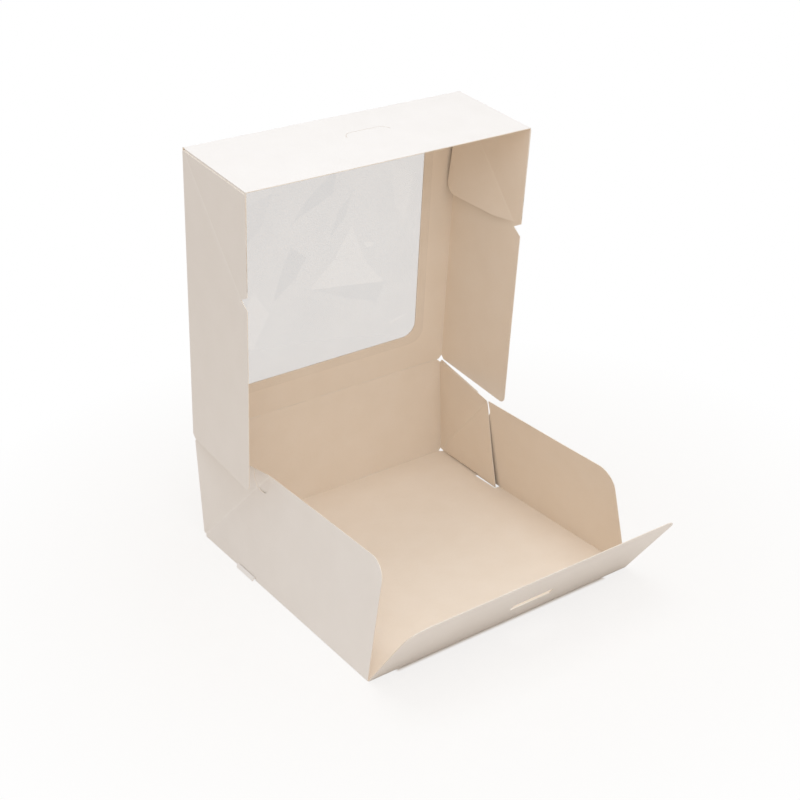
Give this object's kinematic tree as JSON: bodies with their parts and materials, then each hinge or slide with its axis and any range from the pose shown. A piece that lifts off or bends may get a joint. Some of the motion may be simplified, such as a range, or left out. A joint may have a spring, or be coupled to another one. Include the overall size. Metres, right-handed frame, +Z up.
{
  "type": "cake box",
  "caption": "Folded paperboard cake box with a hinged window lid, pre-glued leaning corners and a front flap with a locking slot.",
  "frame": {"origin": "centre of the tray floor's underside", "axes": "+X to the right seen from the front flap, +Y towards the lid's hinge, +Z up"},
  "size_m": [0.26, 0.3108, 0.3506],
  "materials": {
    "board": "matt coated paperboard, white outside and cream inside",
    "film": "thin clear film, slightly wrinkled"
  },
  "bodies": {
    "base": {"base_tray": "board"},
    "flap": {"front_flap": "board"},
    "cover": {"lid": "board", "window_film": "film"}
  },
  "joints": [
    {"name": "lid_hinge", "type": "hinge", "parent": "base", "child": "cover", "pos_m": [0, 0.1267, 0.0966], "axis": [1, 0, 0], "range_deg": [-97, 83]},
    {"name": "front_flap_hinge", "type": "hinge", "parent": "base", "child": "flap", "pos_m": [0, -0.1276, 0.0003], "axis": [-1, 0, 0], "range_deg": [-52.5, 37.5]}
  ]
}
